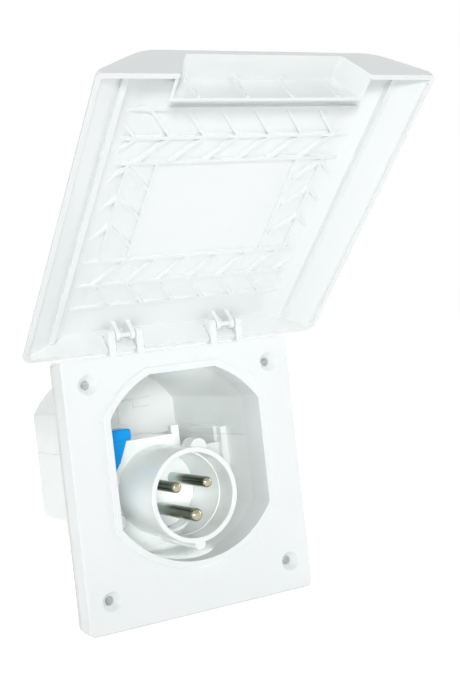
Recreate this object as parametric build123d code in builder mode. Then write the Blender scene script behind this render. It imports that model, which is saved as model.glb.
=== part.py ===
from build123d import *
import os
from math import cos, radians, sin, sqrt

os.makedirs("parts", exist_ok=True)

# Caravan inlet box: X right, Y into the wall, Z up. Y = 0 is the wall's face.

# Front frame
frame_w = 114.0
frame_h = 120.0
frame_corner = 2.5
frame_edge = 0.8
plate_t = 3.0
skirt_t = 2.5
frame_depth = 10.5
seal_t = 4.0
seal_inset = 0.4
hole_pitch_x = 91.4
hole_pitch_z = 94.4
hole_lift = 1.1
hole_r = 2.0
sink_r = 4.5
sink_angle = 76.0
hole_boss_r = 5.6

# Well: a circle with flats at the sides and the top
well_r = 44.6
well_half_w = 37.5
well_top = 41.5
well_lift = 8.2
collar_t = 2.5
lip_w = 3.2
lip_h = 1.4

# Rear housing, in two shells
housing_depth = 77.0
housing_t = 2.5
housing_flange_w = 6.0
housing_lobe_r = 4.2
housing_flange_t = 2.5
split_z = 14.6
tab_w = 9.6
tab_h = 4.6
tab_x = 18.8
tab_z = 32.4
tab_rise = 0.6
wire_rib_t = 0.6
wire_rib_x = 5.4
wire_rib_low = 22.1

# Inlet: shroud, base plate and contacts
shroud_od = 43.3
shroud_t = 2.35
shroud_step_y = 12.5
shroud_step = 0.4
shroud_lift = -7.1
shroud_len = 36.7
base_t = 4.0
base_top = 10.9
base_bottom = -32.5
ledge_top = 18.3
ledge_left = -31.0
ledge_right = 11.3
key_r = 2.7
lug_r = 4.2
lug_len = 9.0
lug_setback = 8.0
lug_angle = 67.4
lug_out = 0.25
floor_recess = 2.0
pin_circle_r = 9.1
phase_pin_r = 2.5
earth_pin_r = 3.0
pin_shank_step = 0.4
pin_root_gap = 0.3
phase_recess = 1.2
earth_recess = -0.5
carrier_flange_r = 20.5
carrier_flat = 13.0
carrier_lobe_r = 3.5
carrier_flange_t = 3.5
tower_r = 15.5
tower_len = 14.0
terminal_len = 13.0
terminal_over_r = 1.6
wire_bore_r = 1.7
wire_stop = 2.0

# Terminal cover behind the base plate
cover_half_w = 33.0
cover_top = 17.5
cover_low_top = 9.0
cover_step_x = 10.0
cover_depth = 36.0
cover_t = 1.8
clip_w = 4.1
clip_x = 15.2
clip_top = 21.6
clip_y = 30.0
clip_t = 3.0

# Guide rails that hold the base plate
rail_w = 3.2
rail_wall = 3.0
rail_bite = 1.6
rail_len = 35.0

# Release lever at the left of the shroud
lever_inner_r = 27.2
lever_outer_r = 31.2
lever_t = 6.0
lever_gap = 0.5
lever_pivot_angle = 200.0
lever_top_angle = 142.0
lever_nose_angle = 172.0
lever_nose_len = 2.6
lever_boss_r = 4.2
lever_pin_r = 1.6
pad_w = 12.5
pad_h = 5.5
pad_depth = 10.5
pad_x = -22.65
pad_gap = 1.3
neck_w = 10.6
neck_foot_w = 7.0
neck_foot_x = -25.2
neck_len = 10.6
spring_wire_r = 0.35
spring_turns = 3

# Hinge: ears and bar on the frame, hooks on the lid
hinge_up = 8.4
hinge_back = 2.0
hinge_x = 25.25
ear_t = 3.2
ear_r = 2.6
hinge_w = 16.6
bar_r = 1.2
hook_r = 2.5
hook_t = 2.1
slot_gap = 0.5

# Lid, measured from the hinge axis: v to the free end, n to the box
open_angle = 131.2
lid_side_over = 16.5
lid_overhang = 13.2
lid_hinge_v = -2.7
lid_rim_n = 5.9
lid_slope_w = 23.0
lid_top_round = 24.0
lid_shoulder_round = 1.6
lid_corner_r = 5.0
lid_end_corner_r = 2.6
lid_h = 14.4
lid_t = 2.2
lid_rim_h = 1.4
side_rib_w = 2.4
side_rib_n = 0.4
side_rib_gap = 0.7
web_w = 1.5
web_h = 1.5
web_pitch = 15.0
web_reach = 12.3
web_short = 8.0
panel_half_w = 32.3
band_mid_x = 45.0
band_top_back = (23.4, 37.0, 49.0)
band_low = (40.8, 27.1, 13.9)
floor_over = 1.5
pull_half_w = 41.5
pull_floor_half_w = 34.5
pull_lip_drop = 0.7
pull_t = 1.4
pull_round = 2.6
pull_ribs = 4
pull_rib_t = 0.9
pull_rib_h = 1.3
pull_rib_pitch = 20.4

# Fasteners and the cable gland
screw_r = 1.5
screw_head_r = 2.8
screw_head_h = 1.9
housing_screw_bite = 8.0
gland_r = 8.0
gland_bore_r = 4.6
gland_flange_r = 11.5
gland_flange_t = 3.0
gland_out = 9.0
gland_x = 0.0
gland_z = -7.1
nut_len = 11.0
locknut_t = 4.0

# Clearances
fit_gap = 0.15
run_gap = 0.05
thread_gap = 0.02
part_gap = 0.3

# Places that follow from the sizes above
face_y = -(frame_depth + seal_t)
axis_y = face_y + hinge_back
axis_z = frame_h / 2 + hinge_up
shroud_r = shroud_od / 2
shroud_in_r = shroud_r - shroud_t
mouth_y = face_y - 0.2
base_y = mouth_y + shroud_len
floor_y = base_y + floor_recess
base_back_y = base_y + base_t
housing_in_y = housing_depth - housing_t
rail_x = well_half_w - rail_w
lid_half_w = frame_w / 2 + lid_side_over
lid_top_half_w = lid_half_w - lid_slope_w
lid_free_v = hinge_up + frame_h + lid_overhang
band_top = tuple(lid_free_v - back for back in band_top_back)
floor_half_w = lid_top_half_w + floor_over
pull_back_v = hinge_up + frame_h + side_rib_gap
pull_foot_v = pull_back_v + pull_t
hinge_sides = (-hinge_x, hinge_x)
seat_y = -part_gap
hole_places = [
    (x, hole_lift + z)
    for x in (-hole_pitch_x / 2, hole_pitch_x / 2)
    for z in (-hole_pitch_z / 2, hole_pitch_z / 2)
]
boss_reach = (well_r + collar_t + screw_head_r + part_gap) / sqrt(2)
housing_screw_places = [
    (x, well_lift + z) for x in (-boss_reach, boss_reach) for z in (-boss_reach, boss_reach)
]
housing_boss_r = screw_head_r + 0.5
carrier_screw_x = carrier_flange_r + 0.5


def at(y):
    """Sketch plane facing the viewer at depth y: X stays X, the sketch's y is Z."""
    return Plane.XZ.offset(-y)


def well_outline(margin):
    """Adds the well's outline, grown by a margin, to the open sketch."""
    with Locations((0, well_lift)):
        Circle(well_r + margin)
    with Locations((0, well_lift + (well_top - well_r) / 2)):
        Rectangle(2 * (well_half_w + margin), well_r + well_top + 2 * margin, mode=Mode.INTERSECT)


def save(builder, name):
    """Labels a finished piece and writes its STEP file."""
    builder.part.label = name
    export_step(builder.part, f"parts/{name}.step")


# Front frame: plate, skirt, collar round the well, raised lip, ears and hinge bars
with BuildPart() as front_frame:
    with BuildSketch(at(face_y)):
        RectangleRounded(frame_w, frame_h, frame_corner)
    extrude(amount=-frame_depth)
    front_edges = front_frame.faces().sort_by(Axis.Y)[0].edges()
    chamfer(front_edges, frame_edge)
    with BuildSketch(at(face_y + plate_t)):
        RectangleRounded(frame_w - 2 * skirt_t, frame_h - 2 * skirt_t, frame_corner)
    extrude(amount=-frame_depth, mode=Mode.SUBTRACT)
    with BuildSketch(at(face_y - lip_h)):
        well_outline(lip_w)
    extrude(amount=-(lip_h + plate_t), taper=0)
    fillet(front_frame.faces().sort_by(Axis.Y)[0].edges(), lip_h * 0.6)
    with BuildSketch(at(face_y + plate_t)):
        well_outline(collar_t)
    extrude(amount=face_y + plate_t - seat_y)
    with BuildSketch(at(face_y + plate_t)):
        with Locations(*housing_screw_places):
            Circle(housing_boss_r)
    extrude(amount=face_y + plate_t - seat_y)
    with BuildSketch(at(face_y + plate_t)):
        with Locations(*hole_places):
            Circle(hole_boss_r)
    extrude(amount=-(frame_depth - plate_t))
    with BuildSketch(at(face_y - 2 * lip_h)):
        well_outline(0)
    extrude(amount=2 * face_y, mode=Mode.SUBTRACT)
    with Locations(at(face_y)):
        with Locations(*hole_places):
            CounterSinkHole(hole_r, sink_r, depth=frame_depth, counter_sink_angle=sink_angle)
    with BuildSketch(at(0)):
        with Locations(*housing_screw_places):
            Circle(screw_r + thread_gap)
    extrude(amount=-face_y - plate_t, mode=Mode.SUBTRACT)
    ear_depth = hinge_back + ear_r
    for middle in hinge_sides:
        for side in (-1, 1):
            ear_x = middle + side * (hinge_w - ear_t) / 2
            with BuildSketch(Plane.YZ.offset(ear_x)):
                with Locations((axis_y, axis_z)):
                    Circle(ear_r)
                with Locations((face_y + ear_depth / 2, axis_z - hinge_up / 2 - skirt_t / 2)):
                    Rectangle(ear_depth, hinge_up + skirt_t)
            extrude(amount=ear_t / 2, both=True)
        with BuildSketch(Plane.YZ.offset(middle)):
            with Locations((axis_y, axis_z)):
                Circle(bar_r)
        extrude(amount=hinge_w / 2, both=True)
save(front_frame, "front_frame")

# Wall seal: a flat ring under the frame's skirt
with BuildPart() as wall_seal:
    with BuildSketch(at(-seal_t)):
        RectangleRounded(frame_w - 2 * seal_inset, frame_h - 2 * seal_inset, frame_corner)
    extrude(amount=-seal_t)
    with BuildSketch(at(-2 * seal_t)):
        well_outline(housing_flange_w + part_gap)
        with Locations(*housing_screw_places):
            Circle(housing_lobe_r + part_gap)
    extrude(amount=-3 * seal_t, mode=Mode.SUBTRACT)
    with BuildSketch(at(-2 * seal_t)):
        with Locations(*hole_places):
            Circle(hole_r + part_gap)
    extrude(amount=-3 * seal_t, mode=Mode.SUBTRACT)
save(wall_seal, "wall_seal")

# Rear housing as one moulding line, then parted into its two shells
with BuildPart() as housing:
    with BuildSketch(at(seat_y)):
        well_outline(housing_t)
    extrude(amount=seat_y - housing_depth)
    fillet(housing.faces().sort_by(Axis.Y)[-1].edges(), 1.2)
    with BuildSketch(at(seat_y)):
        well_outline(housing_flange_w)
        with Locations(*housing_screw_places):
            Circle(housing_lobe_r)
    extrude(amount=-housing_flange_t)
    with BuildSketch(at(seat_y)):
        well_outline(0)
    extrude(amount=seat_y - housing_in_y, mode=Mode.SUBTRACT)
    rail_low = well_lift - sqrt(well_r**2 - well_half_w**2)
    rail_top = ledge_top
    rail_front = base_y - rail_wall
    rail_back = rail_front + rail_len
    with BuildSketch(at(rail_front)):
        for side in (-1, 1):
            with Locations((side * (rail_x + rail_w / 2 + 0.5), (rail_low + rail_top) / 2)):
                Rectangle(rail_w + 1.0, rail_top - rail_low)
    extrude(amount=-(rail_back - rail_front))
    with BuildSketch(at(base_y - fit_gap)):
        for side in (-1, 1):
            with Locations((side * (rail_x + (rail_bite + fit_gap) / 2), (rail_low + rail_top) / 2)):
                Rectangle(rail_bite + fit_gap, rail_top - rail_low + 1)
    extrude(amount=-(base_t + 2 * fit_gap), mode=Mode.SUBTRACT)
    with BuildSketch(at(seat_y)):
        with Locations(*housing_screw_places):
            Circle(screw_r + fit_gap)
    extrude(amount=-2 * housing_flange_t, mode=Mode.SUBTRACT)
    with BuildSketch(at(housing_in_y)):
        with Locations((gland_x, gland_z)):
            Circle(gland_r + fit_gap)
    extrude(amount=-2 * housing_t, mode=Mode.SUBTRACT)
    # Snap tab and two low wire ribs on the back wall
    rib_high = tab_z + tab_h / 2
    with BuildSketch(at(housing_in_y)):
        with Locations((tab_x, tab_z)):
            Rectangle(tab_w, tab_h)
        with Locations(((wire_rib_x + tab_x) / 2, rib_high - wire_rib_t / 2)):
            Rectangle(tab_x - wire_rib_x, wire_rib_t)
        with Locations((wire_rib_x, (wire_rib_low + rib_high) / 2)):
            Rectangle(wire_rib_t, rib_high - wire_rib_low)
    extrude(amount=tab_rise)

with BuildPart() as housing_upper:
    add(housing.part)
    split(bisect_by=Plane.XY.offset(split_z), keep=Keep.TOP)
save(housing_upper, "housing_upper")

with BuildPart() as housing_lower:
    add(housing.part)
    split(bisect_by=Plane.XY.offset(split_z), keep=Keep.BOTTOM)
save(housing_lower, "housing_lower")

# Inlet moulding: shroud tube with key and lug, base plate, ledge and lever boss
pivot_r = (lever_inner_r + lever_outer_r) / 2
pivot_x = pivot_r * cos(radians(lever_pivot_angle))
pivot_z = shroud_lift + pivot_r * sin(radians(lever_pivot_angle))
with BuildPart() as inlet_shroud:
    with BuildSketch(at(base_y)):
        with Locations((0, (base_top + base_bottom) / 2)):
            Rectangle(2 * (rail_x + rail_bite), base_top - base_bottom)
        with Locations(((ledge_left + ledge_right) / 2, (base_top + ledge_top) / 2)):
            Rectangle(ledge_right - ledge_left, ledge_top - base_top)
        with Locations((0, well_lift)):
            Circle(well_r - part_gap, mode=Mode.INTERSECT)
    extrude(amount=-base_t)
    fillet(inlet_shroud.edges().filter_by(Axis.Y).group_by(Axis.Z)[-1], 1.0)
    with BuildSketch(at(mouth_y)):
        with Locations((0, shroud_lift)):
            Circle(shroud_r)
        with Locations((0, shroud_lift - shroud_r - 0.6)):
            Circle(key_r)
    extrude(amount=-shroud_len)
    with BuildSketch(at(mouth_y + lug_setback)):
        with Locations((0, shroud_lift)):
            with PolarLocations(shroud_r + lug_out, 1, start_angle=lug_angle):
                Circle(lug_r)
    extrude(amount=-lug_len)
    with BuildSketch(at(base_y - lever_gap)):
        with Locations((pivot_x, pivot_z)):
            Circle(lever_boss_r - 1.0)
    extrude(amount=-lever_gap)
    with BuildSketch(at(mouth_y)):
        with Locations((0, shroud_lift)):
            Circle(shroud_in_r)
    extrude(amount=-shroud_step_y, mode=Mode.SUBTRACT)
    with BuildSketch(at(mouth_y)):
        with Locations((0, shroud_lift)):
            Circle(shroud_in_r - shroud_step)
    extrude(amount=-2 * shroud_len, mode=Mode.SUBTRACT)
    mouth_edges = inlet_shroud.edges().filter_by(GeomType.CIRCLE).group_by(Axis.Y)[0]
    fillet(mouth_edges, 0.5)
    with BuildSketch(at(base_back_y)):
        with Locations((pivot_x, pivot_z)):
            Circle(lever_pin_r + thread_gap)
    extrude(amount=2 * base_t, mode=Mode.SUBTRACT)
    with BuildSketch(at(base_back_y)):
        for side in (-1, 1):
            with Locations((side * carrier_screw_x, shroud_lift)):
                Circle(screw_r + thread_gap)
    extrude(amount=base_t - 1.0, mode=Mode.SUBTRACT)
save(inlet_shroud, "inlet_shroud")

# Contact carrier: plug in the shroud, flange behind the plate and a terminal tower
pin_angles = {"neutral_pin": 150.0, "line_pin": 30.0, "earth_pin": 270.0}
pin_radius = {"neutral_pin": phase_pin_r, "line_pin": phase_pin_r, "earth_pin": earth_pin_r}
pin_recess = {"neutral_pin": phase_recess, "line_pin": phase_recess, "earth_pin": earth_recess}
pin_places = {
    name: (pin_circle_r * cos(radians(a)), shroud_lift + pin_circle_r * sin(radians(a)))
    for name, a in pin_angles.items()
}
tower_y = base_back_y + carrier_flange_t
terminal_y = tower_y + tower_len
with BuildPart() as contact_carrier:
    with BuildSketch(at(floor_y)):
        with Locations((0, shroud_lift)):
            Circle(shroud_in_r - shroud_step - fit_gap)
    extrude(amount=-(base_back_y - floor_y))
    with BuildSketch(at(base_back_y)):
        with Locations((0, shroud_lift)):
            Circle(carrier_flange_r)
        with Locations((0, shroud_lift + carrier_flat - carrier_flange_r)):
            Rectangle(2 * carrier_flange_r, 2 * carrier_flange_r, mode=Mode.INTERSECT)
        for side in (-1, 1):
            with Locations((side * carrier_screw_x, shroud_lift)):
                Circle(carrier_lobe_r)
    extrude(amount=-carrier_flange_t)
    with BuildSketch(at(tower_y)):
        with Locations((0, shroud_lift)):
            Circle(tower_r)
    extrude(amount=-tower_len)
    fillet(contact_carrier.faces().sort_by(Axis.Y)[-1].edges(), 0.8)
    for name, place in pin_places.items():
        with BuildSketch(at(floor_y)):
            with Locations(place):
                Circle(pin_radius[name] - pin_shank_step + run_gap)
        extrude(amount=-terminal_y, mode=Mode.SUBTRACT)
    with BuildSketch(at(base_back_y)):
        for side in (-1, 1):
            with Locations((side * carrier_screw_x, shroud_lift)):
                Circle(screw_r + fit_gap)
    extrude(amount=-carrier_flange_t, mode=Mode.SUBTRACT)
save(contact_carrier, "contact_carrier")

# Terminal cover: a hood over the terminals, clipped to the back of the base plate
with BuildPart() as terminal_cover:
    with BuildSketch(at(base_back_y)):
        with Locations((0, (cover_low_top + base_bottom) / 2)):
            Rectangle(2 * cover_half_w, cover_low_top - base_bottom)
        with Locations(((cover_step_x - cover_half_w) / 2, (cover_top + base_bottom) / 2)):
            Rectangle(cover_step_x + cover_half_w, cover_top - base_bottom)
        with Locations((0, well_lift)):
            Circle(well_r - 1.5, mode=Mode.INTERSECT)
    extrude(amount=-cover_depth)
    fillet(terminal_cover.faces().sort_by(Axis.Y)[-1].edges(), 2.0)
    cavity_faces = terminal_cover.faces().sort_by(Axis.Y)[0]
    offset(amount=-cover_t, openings=cavity_faces)
    with BuildSketch(at(base_back_y + cover_depth)):
        with Locations((gland_x, gland_z)):
            Circle(gland_r)
    extrude(amount=2 * cover_t, mode=Mode.SUBTRACT)
    with BuildSketch(at(clip_y)):
        with Locations((clip_x, (clip_top + cover_low_top - cover_t / 2) / 2)):
            Rectangle(clip_w, clip_top - cover_low_top + cover_t / 2)
    extrude(amount=-clip_t)
save(terminal_cover, "terminal_cover")

# Contact pins: round-nosed shaft, with a screw terminal behind the tower
for name, (pin_x, pin_z) in pin_places.items():
    r = pin_radius[name]
    tip_y = mouth_y + pin_recess[name]
    block_r = r + terminal_over_r
    screw_dir = pin_angles[name]
    side_plane = Plane(
        (pin_x, terminal_y + terminal_len / 2, pin_z),
        x_dir=(0, 1, 0),
        z_dir=(cos(radians(screw_dir)), 0, sin(radians(screw_dir))),
    )
    with BuildPart() as contact:
        with BuildSketch(at(tip_y)):
            with Locations((pin_x, pin_z)):
                Circle(r)
        extrude(amount=-(floor_y - pin_root_gap - tip_y))
        fillet(contact.faces().sort_by(Axis.Y)[0].edges(), r * 0.72)
        with BuildSketch(at(floor_y - pin_root_gap)):
            with Locations((pin_x, pin_z)):
                Circle(r - pin_shank_step)
        extrude(amount=-(terminal_y - floor_y + pin_root_gap))
        with BuildSketch(at(terminal_y)):
            with Locations((pin_x, pin_z)):
                Circle(block_r)
        extrude(amount=-terminal_len)
        with BuildSketch(at(terminal_y + terminal_len)):
            with Locations((pin_x, pin_z)):
                Circle(wire_bore_r)
        extrude(amount=terminal_len - wire_stop, mode=Mode.SUBTRACT)
        with BuildSketch(side_plane):
            Circle(screw_r + thread_gap)
        extrude(amount=2 * block_r, mode=Mode.SUBTRACT)
    save(contact, name)

    with BuildPart() as terminal_screw:
        with BuildSketch(side_plane.offset(wire_bore_r)):
            Circle(screw_r)
        extrude(amount=block_r - wire_bore_r + 0.3)
        with BuildSketch(side_plane.offset(block_r + 0.1)):
            Circle(screw_head_r)
        extrude(amount=screw_head_h)
        with BuildSketch(side_plane.offset(block_r + 0.1 + screw_head_h)):
            Rectangle(2 * screw_head_r, 0.7)
        extrude(amount=-0.8, mode=Mode.SUBTRACT)
    save(terminal_screw, name.replace("pin", "terminal_screw"))


def screw(place, head_y, length, name, facing=1):
    """A pan-head screw whose head sits on head_y, with its shank going to -Y when facing is 1."""
    with BuildPart() as fastener:
        with BuildSketch(at(head_y)):
            with Locations(place):
                Circle(screw_r)
        extrude(amount=facing * length)
        with BuildSketch(at(head_y)):
            with Locations(place):
                Circle(screw_head_r)
        extrude(amount=-facing * screw_head_h)
        head_face = fastener.faces().sort_by(Axis.Y)[-1 if facing > 0 else 0]
        fillet(head_face.edges(), 0.6)
        for turn in (0, 90):
            with BuildSketch(at(head_y + facing * screw_head_h)):
                with Locations(place):
                    Rectangle(2.6, 0.7, rotation=turn)
            extrude(amount=facing * 1.1, mode=Mode.SUBTRACT)
    save(fastener, name)


screw_bite = base_t - 1.5
for number, side in enumerate((-1, 1), 1):
    screw((side * carrier_screw_x, shroud_lift), tower_y, carrier_flange_t + screw_bite, f"carrier_screw_{number}")
for number, place in enumerate(housing_screw_places, 1):
    screw(place, seat_y + housing_flange_t, housing_flange_t + housing_screw_bite, f"housing_screw_{number}")

# Release lever: an arm curved round the shroud with a thumb pad and a latch nose
lever_y = base_y - lever_gap - lever_t
pad_z = ledge_top + pad_gap + pad_h / 2
with BuildPart() as release_lever:
    with BuildSketch(at(lever_y)):
        with Locations((0, shroud_lift)):
            Circle(lever_outer_r)
            Circle(lever_inner_r, mode=Mode.SUBTRACT)
        with BuildLine():
            far = 2 * lever_outer_r
            first = (far * cos(radians(lever_top_angle)), shroud_lift + far * sin(radians(lever_top_angle)))
            last = (far * cos(radians(lever_pivot_angle)), shroud_lift + far * sin(radians(lever_pivot_angle)))
            Polyline((0, shroud_lift), first, (-far, shroud_lift), last, close=True)
        make_face(mode=Mode.INTERSECT)
        with Locations((pivot_x, pivot_z)):
            Circle(lever_boss_r)
        with Locations((0, shroud_lift)):
            with PolarLocations(lever_inner_r - lever_nose_len / 2 + 0.4, 1, start_angle=lever_nose_angle):
                Rectangle(lever_nose_len + 0.8, 7.0)
        neck_top = pad_z
        neck_low = pad_z - pad_h / 2 - neck_len
        with BuildLine():
            Polyline(
                (pad_x - neck_w / 2, neck_top),
                (pad_x + neck_w / 2, neck_top),
                (pad_x + neck_w / 2, pad_z - pad_h / 2 - part_gap),
                (neck_foot_x + neck_foot_w / 2, neck_low),
                (neck_foot_x - neck_foot_w / 2, neck_low),
                close=True,
            )
        make_face()
    extrude(amount=-lever_t)
    with BuildSketch(at(base_y - lever_gap - pad_depth)):
        with Locations((pad_x, pad_z)):
            RectangleRounded(pad_w, pad_h, 1.6)
    extrude(amount=-pad_depth)
    fillet(release_lever.faces().sort_by(Axis.Y)[0].edges(), 1.0)
    with BuildSketch(at(lever_y)):
        with Locations((pivot_x, pivot_z)):
            Circle(lever_pin_r + run_gap)
    extrude(amount=-lever_t, mode=Mode.SUBTRACT)
save(release_lever, "release_lever")

# Lever pin: shoulder screw in the base plate
spring_len = (2 * spring_wire_r + 0.2) * (spring_turns + 1)
with BuildPart() as lever_pin:
    with BuildSketch(at(base_back_y - 0.5)):
        with Locations((pivot_x, pivot_z)):
            Circle(lever_pin_r)
    extrude(amount=base_back_y - 0.5 - lever_y + spring_len)
    with BuildSketch(at(lever_y - spring_len)):
        with Locations((pivot_x, pivot_z)):
            Circle(lever_boss_r - 0.4)
    extrude(amount=1.6)
    fillet(lever_pin.faces().sort_by(Axis.Y)[0].edges(), 0.6)
save(lever_pin, "lever_pin")

# Lever spring: a coil round the pin, in front of the lever's boss
coil_r = lever_pin_r + spring_wire_r + 0.45
with BuildPart() as lever_spring:
    pitch = 2 * spring_wire_r + 0.2
    coil_y = lever_y - spring_wire_r - 0.15
    with BuildLine() as coil:
        Helix(pitch, pitch * spring_turns, coil_r, center=(pivot_x, coil_y, pivot_z), direction=(0, -1, 0))
    with BuildSketch(Plane(coil.line @ 0, z_dir=coil.line % 0)):
        Circle(spring_wire_r)
    sweep(path=coil.line)
save(lever_spring, "lever_spring")

# Cable gland in the back wall: body, locknut, sealing sleeve and clamping nut
with BuildPart() as gland_body:
    with BuildSketch(at(housing_depth)):
        with Locations((gland_x, gland_z)):
            RegularPolygon(gland_flange_r, 6)
    extrude(amount=-gland_flange_t)
    with BuildSketch(at(housing_in_y - locknut_t - 1.0)):
        with Locations((gland_x, gland_z)):
            Circle(gland_r)
    extrude(amount=-(housing_t + locknut_t + 1.0 + gland_flange_t + gland_out))
    with BuildSketch(at(0)):
        with Locations((gland_x, gland_z)):
            Circle(gland_bore_r + 1.0)
    extrude(amount=-2 * housing_depth, mode=Mode.SUBTRACT)
save(gland_body, "gland_body")

with BuildPart() as gland_locknut:
    with BuildSketch(at(housing_in_y - locknut_t)):
        with Locations((gland_x, gland_z)):
            RegularPolygon(gland_flange_r + 1.0, 6)
            Circle(gland_r + thread_gap, mode=Mode.SUBTRACT)
    extrude(amount=-locknut_t)
save(gland_locknut, "gland_locknut")

gland_end_y = housing_depth + gland_flange_t + gland_out
with BuildPart() as gland_seal:
    with BuildSketch(at(gland_end_y - 6.0)):
        with Locations((gland_x, gland_z)):
            Circle(gland_bore_r + 1.0 - thread_gap)
            Circle(gland_bore_r - 0.6, mode=Mode.SUBTRACT)
    extrude(amount=-7.0)
save(gland_seal, "gland_seal")

with BuildPart() as gland_nut:
    with BuildSketch(at(housing_depth + gland_flange_t + part_gap)):
        with Locations((gland_x, gland_z)):
            RegularPolygon(gland_flange_r, 6)
    extrude(amount=-nut_len)
    fillet(gland_nut.faces().sort_by(Axis.Y)[-1].edges(), 1.5)
    with BuildSketch(at(housing_depth)):
        with Locations((gland_x, gland_z)):
            Circle(gland_r + thread_gap)
    extrude(amount=-(gland_end_y - housing_depth + 0.2), mode=Mode.SUBTRACT)
    with BuildSketch(at(housing_depth)):
        with Locations((gland_x, gland_z)):
            Circle(gland_bore_r)
    extrude(amount=-2 * nut_len, mode=Mode.SUBTRACT)
    with BuildSketch(at(housing_depth)):
        with Locations((gland_x, gland_z)):
            Circle(gland_bore_r + 1.0)
    extrude(amount=-(gland_end_y + 1.0 - housing_depth + part_gap), mode=Mode.SUBTRACT)
save(gland_nut, "gland_nut")

# Lid: a shallow moulded bowl, modelled open as in the photo
swing = radians(open_angle - 90)
lid_out = Vector(0, -cos(swing), sin(swing))
lid_in = Vector(0, -sin(swing), -cos(swing))
axis_point = Vector(0, axis_y, axis_z)


def lid_section(v):
    """Cross-section plane of the lid at v: sketch x is X and sketch y is n."""
    return Plane(axis_point + lid_out * v, x_dir=(1, 0, 0), z_dir=-lid_out)


def lid_side(x):
    """Lengthwise plane of the lid at x: sketch x is v and sketch y is n."""
    return Plane(axis_point + Vector(x, 0, 0), x_dir=lid_out, z_dir=(1, 0, 0))


def lid_floor(n):
    """Plane parallel to the lid's top at n: sketch x is X and sketch y is v."""
    return Plane(axis_point + lid_in * n, x_dir=(1, 0, 0), z_dir=lid_in)


lid_top_n = lid_rim_n - lid_h
lid_floor_n = lid_top_n + lid_t
web_top_n = lid_floor_n + web_h
shoulder_n = lid_rim_n - lid_rim_h
slope_rise = (shoulder_n - lid_top_n) / (lid_half_w - lid_top_half_w)


def lid_outline(inset):
    """Adds the lid's arched cross-section, drawn in by an inset, to the open sketch."""
    slope_x = inset * 0.55
    with BuildLine() as outline:
        Polyline(
            (-lid_half_w + inset, lid_rim_n),
            (-lid_half_w + inset, shoulder_n),
            (-lid_top_half_w + slope_x, lid_top_n + inset),
            (lid_top_half_w - slope_x, lid_top_n + inset),
            (lid_half_w - inset, shoulder_n),
            (lid_half_w - inset, lid_rim_n),
            close=True,
        )
    make_face(outline.edges())
    fillet(vertices().sort_by(Axis.Y)[:2], lid_top_round - inset)
    shoulders = vertices().filter_by_position(Axis.Y, shoulder_n - 0.1, shoulder_n + 0.1)
    fillet(shoulders, lid_shoulder_round)


def lid_plan(inset):
    """Adds the lid's plan with its rounded corners, drawn in by an inset, to the open sketch."""
    hinge_v = lid_hinge_v - lid_t + inset
    free_v = lid_free_v - inset
    with BuildLine() as outline:
        Polyline(
            (-lid_half_w + inset, hinge_v),
            (lid_half_w - inset, hinge_v),
            (lid_half_w - inset, free_v),
            (-lid_half_w + inset, free_v),
            close=True,
        )
    make_face(outline.edges())
    fillet(vertices().sort_by(Axis.Y)[:2], lid_corner_r - inset)
    fillet(vertices().sort_by(Axis.Y)[-2:], lid_end_corner_r - inset)


def pull_outline(grow):
    """Adds the finger pull's outline, grown by a wall, to the open section sketch."""
    with BuildLine() as outline:
        Polyline(
            (-pull_half_w - grow, lid_rim_n),
            (-pull_floor_half_w - grow, lid_floor_n),
            (pull_floor_half_w + grow, lid_floor_n),
            (pull_half_w + grow, lid_rim_n),
            close=True,
        )
    make_face(outline.edges())
    fillet(vertices().sort_by(Axis.Y)[:2], pull_round + grow)


def chevron(points):
    """Adds one bent stiffening web along the points to the open sketch."""
    with BuildLine() as bend:
        Polyline(*points)
    trace(bend.line, web_w)


with BuildPart() as lid_cavity:
    with BuildSketch(lid_section(lid_free_v - lid_t)):
        lid_outline(lid_t)
    extrude(amount=lid_free_v - lid_t - lid_hinge_v)
    with BuildSketch(lid_floor(lid_top_n - lid_t)):
        lid_plan(lid_t)
    extrude(amount=lid_h + 2 * lid_t, mode=Mode.INTERSECT)

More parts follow.
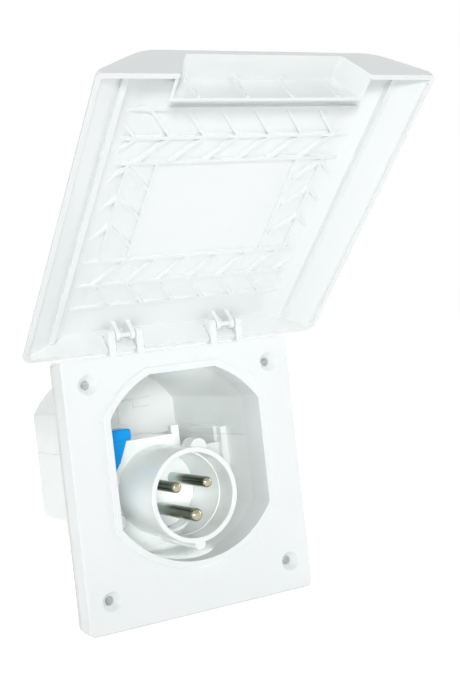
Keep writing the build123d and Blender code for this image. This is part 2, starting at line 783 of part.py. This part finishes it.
with BuildPart() as lid:
    with BuildSketch(lid_section(lid_free_v)):
        lid_outline(0)
    extrude(amount=lid_free_v - lid_hinge_v + lid_t)
    with BuildSketch(lid_floor(lid_top_n - lid_t)):
        lid_plan(0)
    extrude(amount=lid_h + 2 * lid_t, mode=Mode.INTERSECT)
    add(lid_cavity.part, mode=Mode.SUBTRACT)
    # Herringbone webs: bands across the top and bottom, and one down each side
    with BuildSketch(lid_floor(lid_floor_n)):
        for high, middle, low in (band_top, band_low):
            for level in (high, middle, low):
                with Locations((0, level)):
                    Rectangle(2 * floor_half_w, web_w)
        for edge in (-panel_half_w, -band_mid_x, panel_half_w, band_mid_x):
            with Locations((edge, (band_top[2] + band_low[0]) / 2)):
                Rectangle(web_w, band_top[2] - band_low[0])
        for step in range(-3, 4):
            tip = step * web_pitch
            high, middle, low = band_top
            chevron([(tip - web_reach, high), (tip, middle), (tip - web_reach, low)])
            high, middle, low = band_low
            chevron([(tip + web_reach, high), (tip, middle), (tip + web_reach, low)])
        for side in (-1, 1):
            for step in range(3):
                tip = band_top[2] - 2.0 - step * web_pitch
                foot = tip - web_reach
                outer = side * (band_mid_x + web_short)
                chevron([(side * panel_half_w, foot), (side * band_mid_x, tip), (outer, tip - web_short)])
        with Locations((0, lid_free_v / 2)):
            Rectangle(2 * floor_half_w, lid_free_v, mode=Mode.INTERSECT)
    extrude(amount=web_h)
    # Side ribs just outside the frame's sides
    rib_x = frame_w / 2 + side_rib_gap + side_rib_w / 2
    rib_len = lid_free_v - lid_hinge_v - 2 * lid_t
    rib_root_n = lid_top_n + slope_rise * (rib_x + side_rib_w / 2 - lid_top_half_w) + lid_t / 2
    for side in (-1, 1):
        with BuildSketch(lid_floor(side_rib_n)):
            with Locations((side * rib_x, (lid_free_v + lid_hinge_v) / 2)):
                Rectangle(side_rib_w, rib_len)
        extrude(amount=rib_root_n - side_rib_n)
    # Finger pull at the free end: walls round an open pocket, and ribs on its back wall
    with BuildSketch(lid_section(lid_free_v - lid_t / 2)):
        pull_outline(pull_t)
        with Locations((0, (lid_floor_n + lid_rim_n) / 2 - pull_lip_drop)):
            Rectangle(2 * lid_half_w, lid_rim_n - lid_floor_n, mode=Mode.INTERSECT)
    extrude(amount=lid_free_v - lid_t / 2 - pull_back_v)
    with BuildSketch(lid_section(lid_free_v + lid_t)):
        pull_outline(0)
    extrude(amount=lid_free_v + lid_t - pull_foot_v, mode=Mode.SUBTRACT)
    rib_n = lid_rim_n - pull_lip_drop
    with BuildSketch(lid_section(pull_foot_v + pull_rib_h)):
        for step in range(pull_ribs):
            place = (step - (pull_ribs - 1) / 2) * pull_rib_pitch
            with Locations((place, (lid_floor_n + rib_n) / 2 - web_h / 4)):
                Rectangle(pull_rib_t, rib_n - lid_floor_n + web_h / 2)
    extrude(amount=pull_rib_h + pull_t / 2)
    # Slots in the hinge wall where the frame's ears swing
    for middle in hinge_sides:
        for side in (-1, 1):
            ear_x = middle + side * (hinge_w - ear_t) / 2
            with BuildSketch(lid_side(ear_x)):
                with Locations((lid_hinge_v - lid_t / 2, lid_rim_n)):
                    Rectangle(2 * lid_t, 2 * (lid_rim_n + ear_r + slot_gap))
            extrude(amount=ear_t / 2 + slot_gap, both=True, mode=Mode.SUBTRACT)
    # Hooks round the hinge bars
    for middle in hinge_sides:
        for side in (-1, 1):
            hook_x = middle + side * (hinge_w / 2 - ear_t - slot_gap - hook_t / 2)
            with BuildSketch(lid_side(hook_x)):
                Circle(hook_r)
                with Locations((0, lid_floor_n / 2)):
                    Rectangle(2 * hook_r, -lid_floor_n)
                Circle(bar_r + run_gap, mode=Mode.SUBTRACT)
            extrude(amount=hook_t / 2, both=True)
save(lid, "lid")
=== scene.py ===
import math

import bmesh
import bpy
from mathutils import Matrix, Vector


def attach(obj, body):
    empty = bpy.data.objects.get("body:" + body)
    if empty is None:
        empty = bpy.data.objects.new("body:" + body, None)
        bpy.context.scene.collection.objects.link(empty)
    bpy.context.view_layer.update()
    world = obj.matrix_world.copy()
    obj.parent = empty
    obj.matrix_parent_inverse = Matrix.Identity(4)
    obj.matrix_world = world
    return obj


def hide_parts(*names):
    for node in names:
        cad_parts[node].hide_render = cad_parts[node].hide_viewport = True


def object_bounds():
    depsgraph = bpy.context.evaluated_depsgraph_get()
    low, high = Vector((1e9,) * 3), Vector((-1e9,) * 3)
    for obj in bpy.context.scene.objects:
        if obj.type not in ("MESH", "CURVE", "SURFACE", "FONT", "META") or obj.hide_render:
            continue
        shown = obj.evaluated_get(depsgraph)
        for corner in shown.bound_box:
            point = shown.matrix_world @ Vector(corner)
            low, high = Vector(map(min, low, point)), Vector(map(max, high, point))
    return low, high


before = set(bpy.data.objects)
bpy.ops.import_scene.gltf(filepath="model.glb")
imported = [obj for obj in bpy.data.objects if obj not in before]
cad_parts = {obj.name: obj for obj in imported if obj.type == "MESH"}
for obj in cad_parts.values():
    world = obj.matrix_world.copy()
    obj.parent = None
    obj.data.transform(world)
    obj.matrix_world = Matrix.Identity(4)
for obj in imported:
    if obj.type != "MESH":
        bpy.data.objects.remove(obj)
cad_low, cad_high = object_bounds()
scene = bpy.context.scene


# Front frame: one white injection moulding with a satin skin, screwed to the wall
# through its four holes. Its edges are rounded as they leave the tool, and the
# plate carries the faint round prints of the ejector pins.
FRAME_EDGE = 0.0005
FRAME_FACE_Y = -0.0145
FRAME_LOW_MARK = (0.0002, -0.0505)
FRAME_MARKS = ((0.0382, 0.0465), (0.0326, -0.0317))
CLOUD_SCALE = 38.0
CLOUD_TINT = (0.93, 0.94, 0.93, 1)
GRAIN_SCALE = 2600.0
ROUGHNESS_SPREAD = 0.04


def mould_skin_group():
    """Shader group: faint clouding of the colour, and the fine texture of a moulded skin."""
    group = bpy.data.node_groups.new("mould_skin", "ShaderNodeTree")
    sockets = group.interface
    sockets.new_socket("Colour", in_out="INPUT", socket_type="NodeSocketColor")
    for name in ("Clouding", "Gloss", "Grain"):
        sockets.new_socket(name, in_out="INPUT", socket_type="NodeSocketFloat")
    sockets.new_socket("Colour", in_out="OUTPUT", socket_type="NodeSocketColor")
    for name in ("Roughness", "Height"):
        sockets.new_socket(name, in_out="OUTPUT", socket_type="NodeSocketFloat")
    nodes, links = group.nodes, group.links
    taken = nodes.new("NodeGroupInput")
    given = nodes.new("NodeGroupOutput")
    place = nodes.new("ShaderNodeTexCoord")
    cloud = nodes.new("ShaderNodeTexNoise")
    cloud.inputs["Scale"].default_value = CLOUD_SCALE
    cloud.inputs["Detail"].default_value = 3.0
    grain = nodes.new("ShaderNodeTexNoise")
    grain.inputs["Scale"].default_value = GRAIN_SCALE
    grain.inputs["Detail"].default_value = 2.0
    links.new(place.outputs["Object"], cloud.inputs["Vector"])
    links.new(place.outputs["Object"], grain.inputs["Vector"])
    shade = nodes.new("ShaderNodeMapRange")
    shade.inputs["From Min"].default_value = 0.3
    shade.inputs["From Max"].default_value = 0.7
    links.new(cloud.outputs["Fac"], shade.inputs["Value"])
    amount = nodes.new("ShaderNodeMath")
    amount.operation = "MULTIPLY"
    links.new(shade.outputs["Result"], amount.inputs[0])
    links.new(taken.outputs["Clouding"], amount.inputs[1])
    tint = nodes.new("ShaderNodeMix")
    tint.data_type = "RGBA"
    tint.blend_type = "MULTIPLY"
    tint.inputs["B"].default_value = CLOUD_TINT
    links.new(amount.outputs["Value"], tint.inputs["Factor"])
    links.new(taken.outputs["Colour"], tint.inputs["A"])
    links.new(tint.outputs["Result"], given.inputs["Colour"])
    rough = nodes.new("ShaderNodeMath")
    rough.operation = "MULTIPLY_ADD"
    rough.inputs[1].default_value = ROUGHNESS_SPREAD
    links.new(cloud.outputs["Fac"], rough.inputs[0])
    links.new(taken.outputs["Gloss"], rough.inputs[2])
    links.new(rough.outputs["Value"], given.inputs["Roughness"])
    height = nodes.new("ShaderNodeMath")
    height.operation = "MULTIPLY"
    links.new(grain.outputs["Fac"], height.inputs[0])
    links.new(taken.outputs["Grain"], height.inputs[1])
    links.new(height.outputs["Value"], given.inputs["Height"])
    return group


mould_skin = mould_skin_group()
GRAIN_DEPTH = 0.00003
GRAIN_STRENGTH = 0.25


def moulded(name, colour, clouding, gloss, grain, specular=0.5):
    """A moulded plastic made from the shared skin group."""
    material = bpy.data.materials.new(name)
    material.use_nodes = True
    nodes, links = material.node_tree.nodes, material.node_tree.links
    shader = nodes["Principled BSDF"]
    shader.inputs["Specular IOR Level"].default_value = specular
    skin = nodes.new("ShaderNodeGroup")
    skin.node_tree = mould_skin
    skin.inputs["Colour"].default_value = (*colour, 1)
    skin.inputs["Clouding"].default_value = clouding
    skin.inputs["Gloss"].default_value = gloss
    skin.inputs["Grain"].default_value = grain
    links.new(skin.outputs["Colour"], shader.inputs["Base Color"])
    links.new(skin.outputs["Roughness"], shader.inputs["Roughness"])
    bump = nodes.new("ShaderNodeBump")
    bump.inputs["Strength"].default_value = GRAIN_STRENGTH
    bump.inputs["Distance"].default_value = GRAIN_DEPTH
    links.new(skin.outputs["Height"], bump.inputs["Height"])
    links.new(bump.outputs["Normal"], shader.inputs["Normal"])
    return material


def dress(node, material):
    """Gives a CAD node its finish."""
    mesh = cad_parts[node].data
    mesh.materials.clear()
    mesh.materials.append(material)


def settle(piece):
    """Turns a piece and its modifiers into one plain mesh."""
    evaluated = piece.evaluated_get(bpy.context.evaluated_depsgraph_get())
    shown = bpy.data.meshes.new_from_object(evaluated)
    piece.modifiers.clear()
    piece.data = shown


MERGE_DISTANCE = 2e-6
FLAT_WITHIN = math.radians(0.6)
ROUND_ABOVE = math.radians(35)
ROUND_STEPS = 2
FLAT_FACE_WEIGHT = 100


def with_rounded_edges(node, body, material, radius):
    """Copies a CAD node, rounds its edges as a mould does, and shows the copy in its place."""
    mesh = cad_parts[node].data.copy()
    work = bmesh.new()
    work.from_mesh(mesh)
    bmesh.ops.remove_doubles(work, verts=work.verts, dist=MERGE_DISTANCE)
    bmesh.ops.dissolve_limit(work, angle_limit=FLAT_WITHIN, verts=work.verts, edges=work.edges)
    for face in work.faces:
        face.smooth = True
    work.to_mesh(mesh)
    work.free()
    piece = bpy.data.objects.new(node + "_moulding", mesh)
    scene.collection.objects.link(piece)
    mesh.materials.clear()
    mesh.materials.append(material)
    bevel = piece.modifiers.new("rounded", "BEVEL")
    bevel.width = radius
    bevel.segments = ROUND_STEPS
    bevel.limit_method = "ANGLE"
    bevel.angle_limit = ROUND_ABOVE
    bevel.use_clamp_overlap = True
    flat = piece.modifiers.new("flat_faces", "WEIGHTED_NORMAL")
    flat.mode = "FACE_AREA"
    flat.weight = FLAT_FACE_WEIGHT
    flat.keep_sharp = True
    settle(piece)
    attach(piece, body)
    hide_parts(node)
    return piece


EJECTOR_RADIUS = 0.0036
EJECTOR_HEIGHT = 0.00022
EJECTOR_SIDES = 48


def ejector_mark_tree():
    """Geometry tree: a low round disc at each point of the mesh, turned to face one way."""
    tree = bpy.data.node_groups.new("ejector_marks", "GeometryNodeTree")
    sockets = tree.interface
    sockets.new_socket("Points", in_out="INPUT", socket_type="NodeSocketGeometry")
    sockets.new_socket("Radius", in_out="INPUT", socket_type="NodeSocketFloat")
    sockets.new_socket("Height", in_out="INPUT", socket_type="NodeSocketFloat")
    sockets.new_socket("Facing", in_out="INPUT", socket_type="NodeSocketVector")
    sockets.new_socket("Material", in_out="INPUT", socket_type="NodeSocketMaterial")
    sockets.new_socket("Marks", in_out="OUTPUT", socket_type="NodeSocketGeometry")
    nodes, links = tree.nodes, tree.links
    taken = nodes.new("NodeGroupInput")
    given = nodes.new("NodeGroupOutput")
    points = nodes.new("GeometryNodeMeshToPoints")
    disc = nodes.new("GeometryNodeMeshCylinder")
    disc.inputs["Vertices"].default_value = EJECTOR_SIDES
    turn = nodes.new("FunctionNodeAlignRotationToVector")
    turn.axis = "Z"
    spread = nodes.new("GeometryNodeInstanceOnPoints")
    joined = nodes.new("GeometryNodeRealizeInstances")
    painted = nodes.new("GeometryNodeSetMaterial")
    links.new(taken.outputs["Points"], points.inputs["Mesh"])
    links.new(taken.outputs["Radius"], disc.inputs["Radius"])
    links.new(taken.outputs["Height"], disc.inputs["Depth"])
    links.new(taken.outputs["Facing"], turn.inputs["Vector"])
    links.new(points.outputs["Points"], spread.inputs["Points"])
    links.new(disc.outputs["Mesh"], spread.inputs["Instance"])
    links.new(turn.outputs["Rotation"], spread.inputs["Rotation"])
    links.new(spread.outputs["Instances"], joined.inputs["Geometry"])
    links.new(joined.outputs["Geometry"], painted.inputs["Geometry"])
    links.new(taken.outputs["Material"], painted.inputs["Material"])
    links.new(painted.outputs["Geometry"], given.inputs["Marks"])
    return tree


ejector_marks = ejector_mark_tree()


def marked(name, body, places, facing, material):
    """Sets the round prints of the ejector pins, half sunk, at places on a moulding."""
    mesh = bpy.data.meshes.new(name + "_places")
    mesh.from_pydata(places, [], [])
    piece = bpy.data.objects.new(name, mesh)
    scene.collection.objects.link(piece)
    spread = piece.modifiers.new("marks", "NODES")
    spread.node_group = ejector_marks
    settings = {
        "Radius": EJECTOR_RADIUS,
        "Height": EJECTOR_HEIGHT,
        "Facing": facing,
        "Material": material,
    }
    for item in ejector_marks.interface.items_tree:
        if item.in_out == "INPUT" and item.name in settings:
            spread[item.identifier] = settings[item.name]
    settle(piece)
    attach(piece, body)
    return piece


white_plastic = moulded(
    "white_moulded_plastic", colour=(0.88, 0.905, 0.905), clouding=0.1, gloss=0.16, grain=0.6
)
with_rounded_edges("front_frame", "box", white_plastic, FRAME_EDGE)
frame_places = [(FRAME_LOW_MARK[0], FRAME_FACE_Y, FRAME_LOW_MARK[1])]
for across, height in FRAME_MARKS:
    frame_places.append((-across, FRAME_FACE_Y, height))
    frame_places.append((across, FRAME_FACE_Y, height))
marked("frame_ejector_marks", "box", frame_places, (0, -1, 0), white_plastic)

# Wall seal: a soft white strip pressed between the flange and the wall. It is
# a little warmer and duller than the mouldings in front of it. The ring in the
# cable gland is made of the same rubber.
seal_rubber = moulded(
    "soft_white_seal", colour=(0.86, 0.865, 0.83), clouding=0.2, gloss=0.5, grain=1.0, specular=0.3
)
dress("wall_seal", seal_rubber)
dress("gland_seal", seal_rubber)

# Rear housing: two off-white shells that meet along a seam at the sides, screwed
# to the back of the frame. They are hidden in the wall in use, so the skin is
# plainer than the front.
HOUSING_EDGE = 0.0004
# Painted light: this white is lighter and greener than the frame's, to brighten the shade inside
# the well.
housing_painted_light_white = moulded(
    "housing_white_painted_light", colour=(0.92, 0.955, 0.942), clouding=0.1, gloss=0.18, grain=1.0
)
for shell in ("housing_upper", "housing_lower"):
    with_rounded_edges(shell, "box", housing_painted_light_white, HOUSING_EDGE)
dress("terminal_cover", housing_painted_light_white)

# Inlet: shroud, base plate and contact carrier in white plastic, as standard
# for this connector, with the carrier clamped in from behind.
INLET_EDGE = 0.0004
# Painted light: this white is lighter and greener than the frame's, to brighten the shade inside
# the shroud.
inlet_painted_light_white = moulded(
    "inlet_white_painted_light", colour=(0.905, 0.945, 0.93), clouding=0.1, gloss=0.16, grain=0.6
)
with_rounded_edges("inlet_shroud", "box", inlet_painted_light_white, INLET_EDGE)
dress("contact_carrier", inlet_painted_light_white)


# Contacts: nickel-plated brass pins, turned on a lathe, with fine rings round
# them. Their colour carries painted reflections: dark nickel with bright streaks
# along the pins, for the reflections of a darker room, and a brighter, greener
# foot, a painted reflection of the white carrier floor. The brass shows at the
# worn tips.
# Painted reflections: dark and bright nickel, mixed in streaks along the pins, stand in for
# reflections of a darker room.
PAINTED_DARK_REFLECTION = (0.045, 0.055, 0.030, 1)
PAINTED_BRIGHT_REFLECTION = (0.38, 0.40, 0.31, 1)
BARE_BRASS = (0.38, 0.35, 0.25, 1)
STREAK_SCALE = 420.0
STREAK_STRETCH = (1.0, 0.02, 1.0)
LATHE_RING_SCALE = 900.0
# Painted reflection: the foot of each pin is painted brighter and greener, for the white carrier
# floor reflected in it.
FOOT_REFLECTION_NICKEL = (0.42, 0.48, 0.465, 1)
FOOT_REFLECTION_FROM_Y = 0.007
FOOT_REFLECTION_TO_Y = 0.016
WORN_FROM_Y = -0.0116
WORN_TO_Y = -0.0128


def turned_nickel():
    """Plated metal with faint lathe rings, painted reflections in its colour (dark and bright
    streaks, a bright foot) and brass tips.
    """
    material = bpy.data.materials.new("turned_nickel")
    material.use_nodes = True
    nodes, links = material.node_tree.nodes, material.node_tree.links
    shader = nodes["Principled BSDF"]
    shader.inputs["Metallic"].default_value = 1.0
    place = nodes.new("ShaderNodeTexCoord")
    stretch = nodes.new("ShaderNodeMapping")
    stretch.inputs["Scale"].default_value = STREAK_STRETCH
    links.new(place.outputs["Object"], stretch.inputs["Vector"])
    streak = nodes.new("ShaderNodeTexNoise")
    streak.inputs["Scale"].default_value = STREAK_SCALE
    streak.inputs["Detail"].default_value = 1.0
    links.new(stretch.outputs["Vector"], streak.inputs["Vector"])
    # Painted reflections: streaks of dark and bright nickel along the pin.
    reflection_streak_mask = nodes.new("ShaderNodeMapRange")
    reflection_streak_mask.inputs["From Min"].default_value = 0.42
    reflection_streak_mask.inputs["From Max"].default_value = 0.72
    links.new(streak.outputs["Fac"], reflection_streak_mask.inputs["Value"])
    painted_reflection = nodes.new("ShaderNodeMix")
    painted_reflection.data_type = "RGBA"
    painted_reflection.inputs["A"].default_value = PAINTED_DARK_REFLECTION
    painted_reflection.inputs["B"].default_value = PAINTED_BRIGHT_REFLECTION
    links.new(reflection_streak_mask.outputs["Result"], painted_reflection.inputs["Factor"])
    along = nodes.new("ShaderNodeSeparateXYZ")
    links.new(place.outputs["Object"], along.inputs["Vector"])
    # Painted reflection: brighter, greener nickel towards the foot.
    foot_reflection_mask = nodes.new("ShaderNodeMapRange")
    foot_reflection_mask.inputs["From Min"].default_value = FOOT_REFLECTION_FROM_Y
    foot_reflection_mask.inputs["From Max"].default_value = FOOT_REFLECTION_TO_Y
    links.new(along.outputs["Y"], foot_reflection_mask.inputs["Value"])
    bright = nodes.new("ShaderNodeMix")
    bright.data_type = "RGBA"
    bright.inputs["B"].default_value = FOOT_REFLECTION_NICKEL
    links.new(foot_reflection_mask.outputs["Result"], bright.inputs["Factor"])
    links.new(painted_reflection.outputs["Result"], bright.inputs["A"])
    worn = nodes.new("ShaderNodeMapRange")
    worn.inputs["From Min"].default_value = WORN_FROM_Y
    worn.inputs["From Max"].default_value = WORN_TO_Y
    links.new(along.outputs["Y"], worn.inputs["Value"])
    brass = nodes.new("ShaderNodeMix")
    brass.data_type = "RGBA"
    brass.inputs["B"].default_value = BARE_BRASS
    links.new(worn.outputs["Result"], brass.inputs["Factor"])
    links.new(bright.outputs["Result"], brass.inputs["A"])
    links.new(brass.outputs["Result"], shader.inputs["Base Color"])
    rings = nodes.new("ShaderNodeTexWave")
    rings.bands_direction = "Y"
    rings.inputs["Scale"].default_value = LATHE_RING_SCALE
    rings.inputs["Distortion"].default_value = 1.5
    links.new(place.outputs["Object"], rings.inputs["Vector"])
    rough = nodes.new("ShaderNodeMapRange")
    rough.inputs["To Min"].default_value = 0.10
    rough.inputs["To Max"].default_value = 0.18
    links.new(rings.outputs["Fac"], rough.inputs["Value"])
    links.new(rough.outputs["Result"], shader.inputs["Roughness"])
    return material


nickel = turned_nickel()
for pin in ("line_pin", "neutral_pin", "earth_pin"):
    dress(pin, nickel)


# Fasteners, lever pin and lever spring: zinc-plated steel, a little cloudy. The
# screws hold the terminals, the contact carrier and the two housing shells.
DARK_ZINC = (0.50, 0.51, 0.52, 1)
PALE_ZINC = (0.66, 0.66, 0.67, 1)
ZINC_CLOUD_SCALE = 700.0


def zinc_plate():
    """Plated steel with the cloudy look of zinc."""
    material = bpy.data.materials.new("zinc_plated_steel")
    material.use_nodes = True
    nodes, links = material.node_tree.nodes, material.node_tree.links
    shader = nodes["Principled BSDF"]
    shader.inputs["Metallic"].default_value = 1.0
    place = nodes.new("ShaderNodeTexCoord")
    cloud = nodes.new("ShaderNodeTexNoise")
    cloud.inputs["Scale"].default_value = ZINC_CLOUD_SCALE
    links.new(place.outputs["Object"], cloud.inputs["Vector"])
    cast = nodes.new("ShaderNodeMix")
    cast.data_type = "RGBA"
    cast.inputs["A"].default_value = DARK_ZINC
    cast.inputs["B"].default_value = PALE_ZINC
    links.new(cloud.outputs["Fac"], cast.inputs["Factor"])
    links.new(cast.outputs["Result"], shader.inputs["Base Color"])
    rough = nodes.new("ShaderNodeMapRange")
    rough.inputs["To Min"].default_value = 0.28
    rough.inputs["To Max"].default_value = 0.45
    links.new(cloud.outputs["Fac"], rough.inputs["Value"])
    links.new(rough.outputs["Result"], shader.inputs["Roughness"])
    return material


zinc = zinc_plate()
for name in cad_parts:
    if "screw" in name or name in ("lever_pin", "lever_spring"):
        dress(name, zinc)

# Release lever: bright blue moulding with a thumb pad, sprung on its pin at the
# left of the shroud. It is kept out of the bounced light, because the white
# shroud beside it shows no blue.
LEVER_EDGE = 0.0004
blue_plastic = moulded(
    "blue_moulded_plastic",
    colour=(0.004, 0.33, 0.84),
    clouding=0.2,
    gloss=0.18,
    grain=0.5,
    specular=0.15,
)
lever = with_rounded_edges("release_lever", "lever", blue_plastic, LEVER_EDGE)
lever.visible_diffuse = False

# Cable gland: light grey body, locknut and clamping nut in hard plastic, screwed
# through the back wall of the housing.
grey_plastic = moulded(
    "light_grey_plastic", colour=(0.42, 0.43, 0.44), clouding=0.6, gloss=0.35, grain=1.0
)
for name in ("gland_body", "gland_locknut", "gland_nut"):
    dress(name, grey_plastic)

# Lid: the same white moulding as the frame, thin-walled, stiffened inside by
# herringbone webs, and hooked on the frame's hinge bars. Its ejector prints lie
# on the floor of the bowl, given by distance from the middle and from the hinge.
LID_EDGE = 0.0004
LID_AXIS = Vector((0, -0.0125, 0.0684))
LID_TILT = math.radians(41.2)
LID_FLOOR = -0.0063
LID_MARKS = ((0.0297, 0.0976), (0.0387, 0.0761), (0.0301, 0.0326), (0.0421, 0.0175))
with_rounded_edges("lid", "lid", white_plastic, LID_EDGE)
lid_out = Vector((0, -math.cos(LID_TILT), math.sin(LID_TILT)))
lid_in = Vector((0, -math.sin(LID_TILT), -math.cos(LID_TILT)))
lid_places = []
for across, along in LID_MARKS:
    foot = LID_AXIS + lid_out * along + lid_in * LID_FLOOR
    lid_places.append(foot - Vector((across, 0, 0)))
    lid_places.append(foot + Vector((across, 0, 0)))
marked("lid_ejector_marks", "lid", lid_places, lid_in, white_plastic)

# Floor and backdrop: a wide white sheet under the object and an even white room.
# Both read as plain white to the camera and in reflections, and the floor keeps
# the object's shadow.
FLOOR_SPAN = 6.0
FLOOR_GAP = 0.0005
FLOOR_COLOUR = (0.9, 0.9, 0.9, 1)
FLOOR_WHITE = 0.8
ROOM_COLOUR = (0.97, 0.99, 1.0, 1)
ROOM_LOW = 0.28
ROOM_HIGH = 0.30
PURE_WHITE = (1, 1, 1, 1)


def seen_directly(tree):
    """Nodes that give 1 for a ray from the camera, a reflection or a clear piece."""
    ray = tree.nodes.new("ShaderNodeLightPath")
    direct = tree.nodes.new("ShaderNodeMath")
    direct.operation = "MAXIMUM"
    tree.links.new(ray.outputs["Is Camera Ray"], direct.inputs[0])
    tree.links.new(ray.outputs["Is Glossy Ray"], direct.inputs[1])
    either = tree.nodes.new("ShaderNodeMath")
    either.operation = "MAXIMUM"
    tree.links.new(direct.outputs["Value"], either.inputs[0])
    tree.links.new(ray.outputs["Is Transmission Ray"], either.inputs[1])
    return either.outputs["Value"]


floor_mesh = bpy.data.meshes.new("floor")
work = bmesh.new()
bmesh.ops.create_grid(work, x_segments=2, y_segments=2, size=FLOOR_SPAN)
work.to_mesh(floor_mesh)
work.free()
floor = bpy.data.objects.new("floor", floor_mesh)
floor.location = (0, 0, cad_low[2] - FLOOR_GAP)
scene.collection.objects.link(floor)
floor_paint = bpy.data.materials.new("white_floor")
floor_paint.use_nodes = True
paint = floor_paint.node_tree
surface = paint.nodes["Principled BSDF"]
surface.inputs["Base Color"].default_value = FLOOR_COLOUR
surface.inputs["Roughness"].default_value = 0.9
level = paint.nodes.new("ShaderNodeMath")
level.operation = "MULTIPLY"
level.inputs[1].default_value = FLOOR_WHITE
paint.links.new(seen_directly(paint), level.inputs[0])
glow = paint.nodes.new("ShaderNodeEmission")
glow.inputs["Color"].default_value = PURE_WHITE
paint.links.new(level.outputs["Value"], glow.inputs["Strength"])
lit = paint.nodes.new("ShaderNodeAddShader")
paint.links.new(surface.outputs["BSDF"], lit.inputs[0])
paint.links.new(glow.outputs["Emission"], lit.inputs[1])
paint.links.new(lit.outputs["Shader"], paint.nodes["Material Output"].inputs["Surface"])
floor_mesh.materials.append(floor_paint)

world = bpy.data.worlds.new("studio")
world.use_nodes = True
scene.world = world
sky = world.node_tree
ambient = sky.nodes["Background"]
ambient.inputs["Color"].default_value = ROOM_COLOUR
toward_sky = sky.nodes.new("ShaderNodeTexCoord")
height = sky.nodes.new("ShaderNodeSeparateXYZ")
fade = sky.nodes.new("ShaderNodeMapRange")
fade.inputs["From Max"].default_value = 0.9
fade.inputs["To Min"].default_value = ROOM_LOW
fade.inputs["To Max"].default_value = ROOM_HIGH
sky.links.new(toward_sky.outputs["Generated"], height.inputs["Vector"])
sky.links.new(height.outputs["Z"], fade.inputs["Value"])
sky.links.new(fade.outputs["Result"], ambient.inputs["Strength"])
white = sky.nodes.new("ShaderNodeBackground")
white.inputs["Color"].default_value = PURE_WHITE
white.inputs["Strength"].default_value = 1.0
pick = sky.nodes.new("ShaderNodeMixShader")
sky.links.new(seen_directly(sky), pick.inputs["Fac"])
sky.links.new(ambient.outputs["Background"], pick.inputs[1])
sky.links.new(white.outputs["Background"], pick.inputs[2])
sky.links.new(pick.outputs["Shader"], sky.nodes["World Output"].inputs["Surface"])

# Lamps: soft square studio lamps round the object, the strongest beside the
# camera. The small cards stand for the light that white walls throw about: two
# under the lid, and five inside the box, where the real light reaches deep.
WIDE = 180
BOX_MIDDLE = (0, 0, 0.05)
LAMPS = (
    # name, place, aim, size, power, spread in degrees
    ("front_lamp", (-1.733, -3.57, 0.42), (0, 0, 0), 0.6, 70.0, WIDE),
    ("right_lamp", (1.5, -0.7, 0.3), BOX_MIDDLE, 0.8, 7.0, WIDE),
    ("left_lamp", (-1.6, 0.0, 0.1), BOX_MIDDLE, 0.8, 5.7, WIDE),
    ("back_lamp", (0.4, 1.3, 1.1), BOX_MIDDLE, 0.8, 16.0, WIDE),
    ("lid_card", (-0.055, -0.24, -0.055), (-0.055, -0.24, 1.0), 0.25, 0.09, WIDE),
)
HIDDEN_CARDS = (
    ("hinge_card", (0.02, -0.075, -0.055), (0.0, -0.115, 0.155), 0.1, 0.0095, 70),
    ("well_card", (0.004, -0.010, 0.03), (0.004, 0.93, 0.39), 0.026, 0.0041, 100),
    ("inlet_card", (-0.003, -0.010, -0.006), (0.45, 0.9, -0.006), 0.022, 0.0020, 90),
    ("low_card", (-0.004, 0.002, -0.031), (-0.004, 0.032, -0.081), 0.03, 0.0020, WIDE),
    ("rear_card", (-0.004, 0.048, -0.0335), (-0.004, 0.048, -1.0), 0.045, 0.0026, WIDE),
    ("side_card", (-0.036, -0.004, -0.010), (1.0, -0.004, -0.010), 0.02, 0.0011, WIDE),
)


def softbox(name, place, aim, size, power, spread):
    """A square studio lamp facing its aim, which the camera doesn't see."""
    lamp = bpy.data.lights.new(name, "AREA")
    lamp.shape = "SQUARE"
    lamp.size = size
    lamp.energy = power
    lamp.spread = math.radians(spread)
    lamp_object = bpy.data.objects.new(name, lamp)
    toward = Vector(aim) - Vector(place)
    lamp_object.rotation_euler = toward.to_track_quat("-Z", "Y").to_euler()
    lamp_object.location = place
    lamp_object.visible_camera = False
    scene.collection.objects.link(lamp_object)
    return lamp_object


for lamp_settings in LAMPS:
    softbox(*lamp_settings)
for card_settings in HIDDEN_CARDS:
    card = softbox(*card_settings)
    card.visible_glossy = False

# Camera: where the photographer stood, a little to the left and almost level,
# with the tilt of the picture.
VIEW_AZIMUTH = math.radians(29.13)
VIEW_ELEVATION = math.radians(1.046)
VIEW_ROLL = math.radians(-6.379)
VIEW_DISTANCE = 0.5439
VIEW_AIM = Vector((0.02644, -0.0145, 0.05823))
FOCAL_PIXELS = 1179.5
PHOTO_HEIGHT = 690
SENSOR_HEIGHT = 36.0
NEAREST_SEEN = 0.01
backward = Vector(
    (
        -math.sin(VIEW_AZIMUTH) * math.cos(VIEW_ELEVATION),
        -math.cos(VIEW_AZIMUTH) * math.cos(VIEW_ELEVATION),
        math.sin(VIEW_ELEVATION),
    )
)
level_right = Vector((0, 0, 1)).cross(backward).normalized()
level_up = backward.cross(level_right)
right = level_right * math.cos(VIEW_ROLL) + level_up * math.sin(VIEW_ROLL)
up = level_up * math.cos(VIEW_ROLL) - level_right * math.sin(VIEW_ROLL)
lens = bpy.data.cameras.new("camera")
lens.sensor_fit = "VERTICAL"
lens.sensor_height = SENSOR_HEIGHT
lens.lens = FOCAL_PIXELS * SENSOR_HEIGHT / PHOTO_HEIGHT
lens.clip_start = NEAREST_SEEN
camera = bpy.data.objects.new("camera", lens)
stand = Matrix((right, up, backward)).transposed().to_4x4()
stand.translation = VIEW_AIM + backward * VIEW_DISTANCE
camera.matrix_world = stand
scene.collection.objects.link(camera)
scene.camera = camera
scene.view_settings.view_transform = "Standard"
